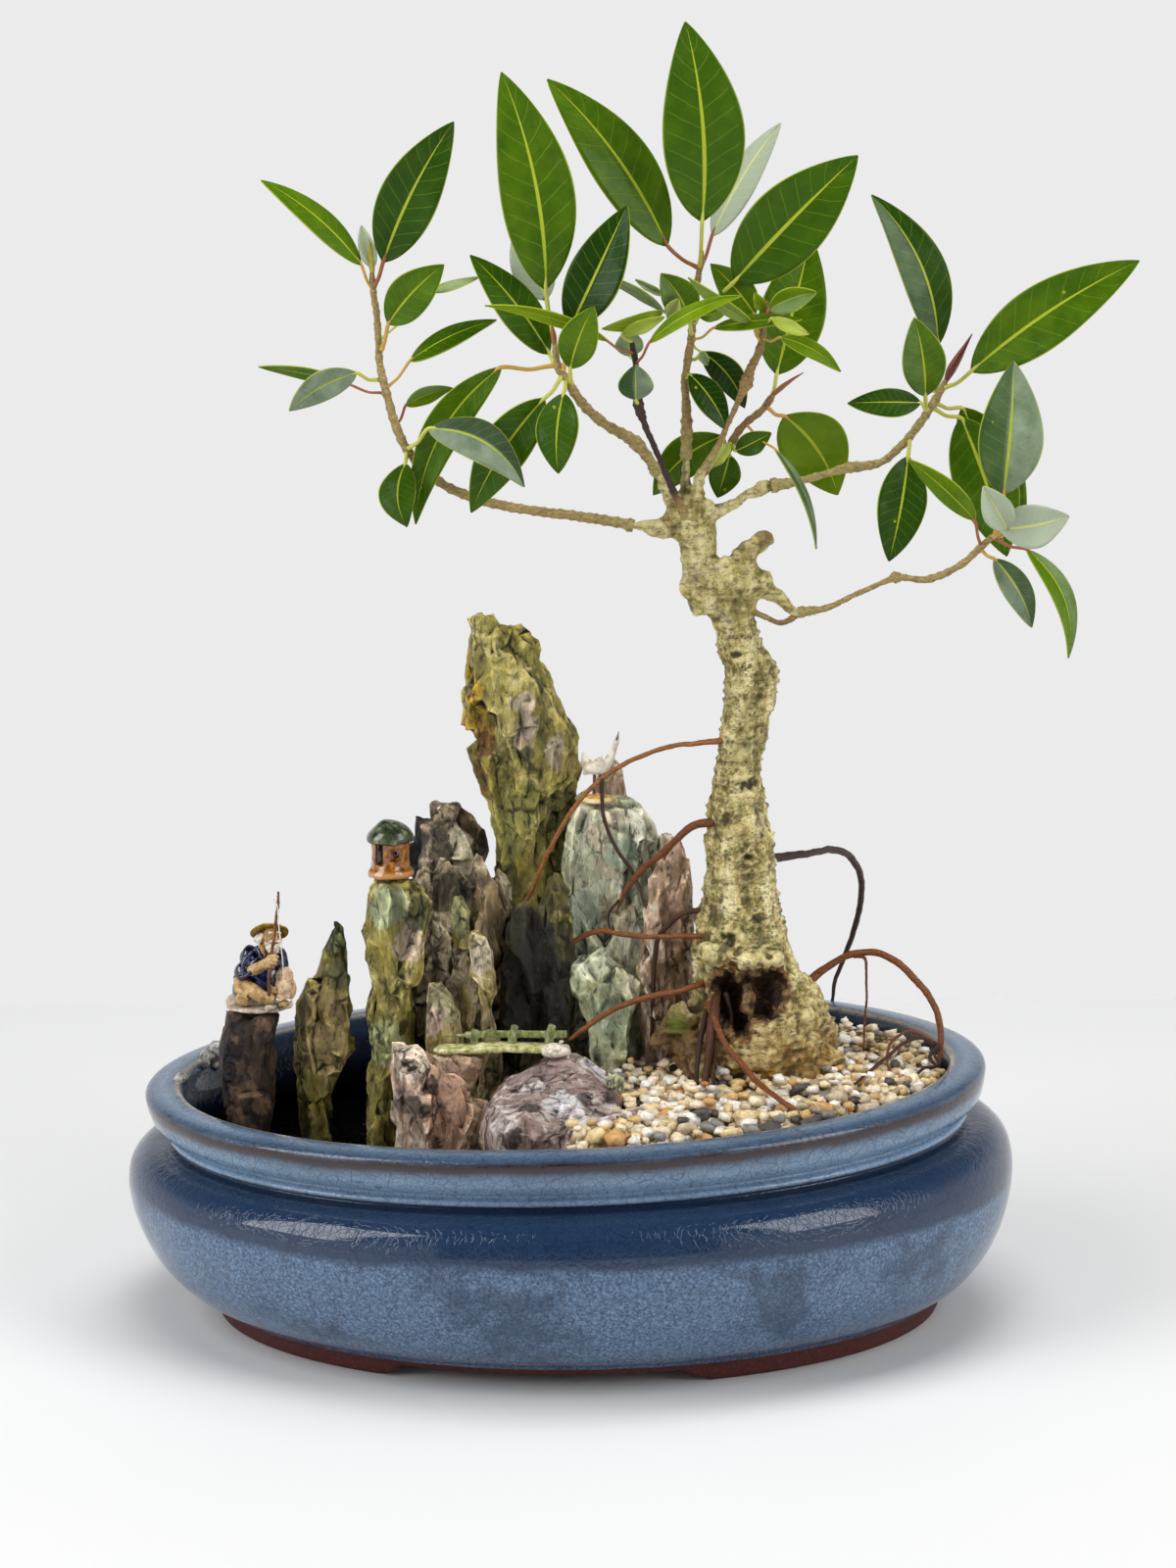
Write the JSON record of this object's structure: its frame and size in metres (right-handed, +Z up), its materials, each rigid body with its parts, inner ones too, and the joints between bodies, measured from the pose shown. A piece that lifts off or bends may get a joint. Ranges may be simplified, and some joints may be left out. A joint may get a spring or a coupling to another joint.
{
  "type": "fig bonsai",
  "caption": "Small-leaf fig bonsai in an oval glazed pot, with bare branches, aerial roots, a miniature stone landscape and pale gravel.",
  "frame": {"origin": "middle of the whole object's outline seen from above, on the plane that the pot's foot stands on", "axes": "+Z up, +X to the right along the pot's long axis with the tree in the right half, -Y towards the front that the tree shows"},
  "size_m": [0.3712, 0.254, 0.4741],
  "materials": {
    "glazed_pot": "glossy blue crackle glaze, bare red-brown foot",
    "mortar": "rough grey mortar",
    "soil": "damp dark grit",
    "gravel": "smooth pale pebbles",
    "dark_stone": "rough split stone",
    "green_stone": "rough split stone",
    "pink_stone": "rough split stone",
    "bark": "knobbly living bark",
    "leaf": "leathery and glossy",
    "clay_figure": "partly glazed clay",
    "cane": "dry cane",
    "clay_amber": "amber and green glaze",
    "clay_white": "matt white clay",
    "clay_green": "yellow-green glaze"
  },
  "bodies": {
    "root": {"pot": "glazed_pot", "mortar_bed": "mortar", "soil": "soil", "gravel": "gravel", "rock_fisher": "dark_stone", "rock_spire": "green_stone", "rock_pavilion": "green_stone", "rock_pink": "pink_stone", "rock_triangle": "green_stone", "rock_cream": "green_stone", "rock_tan": "pink_stone", "rock_back": "dark_stone", "rock_peak": "green_stone", "rock_crane": "green_stone", "rock_spire_back": "dark_stone", "rock_front_green": "green_stone", "rock_purple": "pink_stone", "rock_boulder": "pink_stone", "rock_ledge": "pink_stone", "trunk": "bark", "leaf_left_narrow": "leaf", "leaf_left_broad": "leaf", "leaf_left_mid": "leaf", "leaf_left_strap": "leaf", "leaf_left_grey": "leaf", "leaf_left_low": "leaf", "leaf_left_gloss": "leaf", "leaf_hang_long": "leaf", "leaf_hang_fold": "leaf", "leaf_hang_short": "leaf", "leaf_a_small": "leaf", "leaf_a_left": "leaf", "leaf_a_tall": "leaf", "leaf_a_dark": "leaf", "leaf_c_left": "leaf", "leaf_c_top": "leaf", "leaf_c_pale": "leaf", "leaf_d_right": "leaf", "leaf_e_back": "leaf", "leaf_c_olive": "leaf", "leaf_c_dark": "leaf", "leaf_low_mid": "leaf", "leaf_right_round": "leaf", "leaf_f_left": "leaf", "leaf_f_mid": "leaf", "leaf_f_right": "leaf", "leaf_f_hang": "leaf", "leaf_f_low": "leaf", "leaf_g_up": "leaf", "leaf_g_strap": "leaf", "leaf_g_curl": "leaf", "leaf_g_small": "leaf", "leaf_g_long": "leaf", "fisherman": "clay_figure", "fishing_rod": "cane", "pavilion": "clay_amber", "crane": "clay_white", "bridge": "clay_green"}
  },
  "joints": []
}
